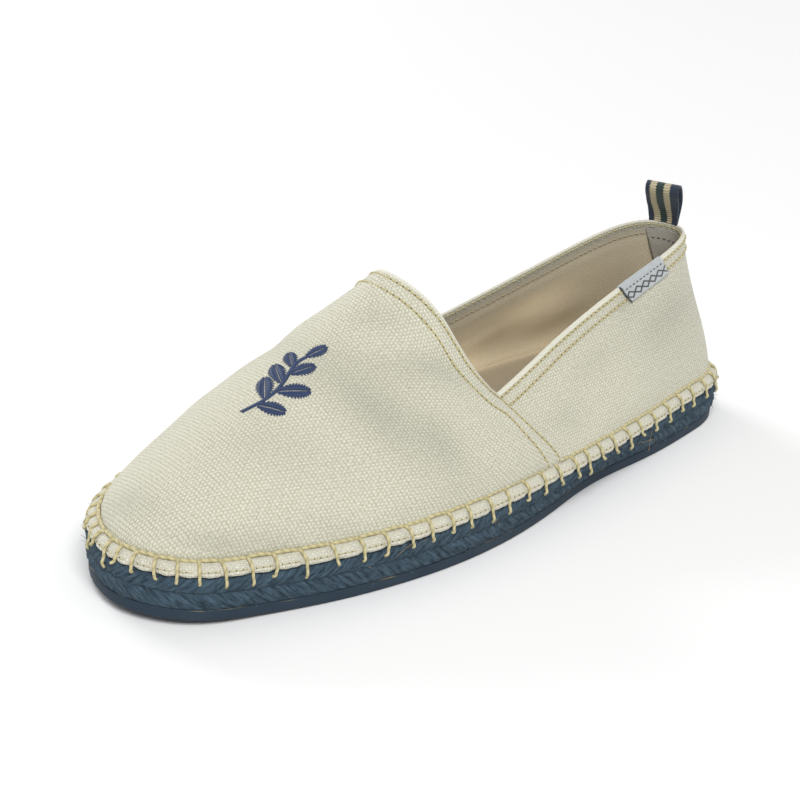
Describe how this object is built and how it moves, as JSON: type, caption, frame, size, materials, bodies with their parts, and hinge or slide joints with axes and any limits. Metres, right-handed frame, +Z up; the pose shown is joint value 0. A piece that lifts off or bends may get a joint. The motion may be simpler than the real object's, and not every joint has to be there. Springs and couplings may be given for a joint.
{
  "type": "espadrille",
  "caption": "Flat slip-on canvas shoe on a braided rope sole with a thin rubber outsole, a striped pull loop at the heel and a small folded side label.",
  "frame": {"origin": "on the floor, under the middle of the shoe's box", "axes": "+X across the shoe to the inner side of the foot, +Y to the heel, +Z up"},
  "size_m": [0.1063, 0.2912, 0.0894],
  "materials": {
    "slate_rubber": "matt, moulded",
    "navy_jute": "dyed braided rope, fuzzy",
    "beige_twill": "plain cotton lining",
    "pale_folded_canvas": "folded canvas edge",
    "cream_duck_canvas": "plain-weave duck",
    "navy_grosgrain": "ribbed ribbon with cream stripes",
    "silver_satin": "satin ribbon"
  },
  "bodies": {
    "root": {"outsole": "slate_rubber", "rope_sole": "navy_jute", "insole": "beige_twill", "hem_band": "pale_folded_canvas", "upper": "cream_duck_canvas", "pull_loop": "navy_grosgrain", "side_label": "silver_satin"}
  },
  "joints": []
}
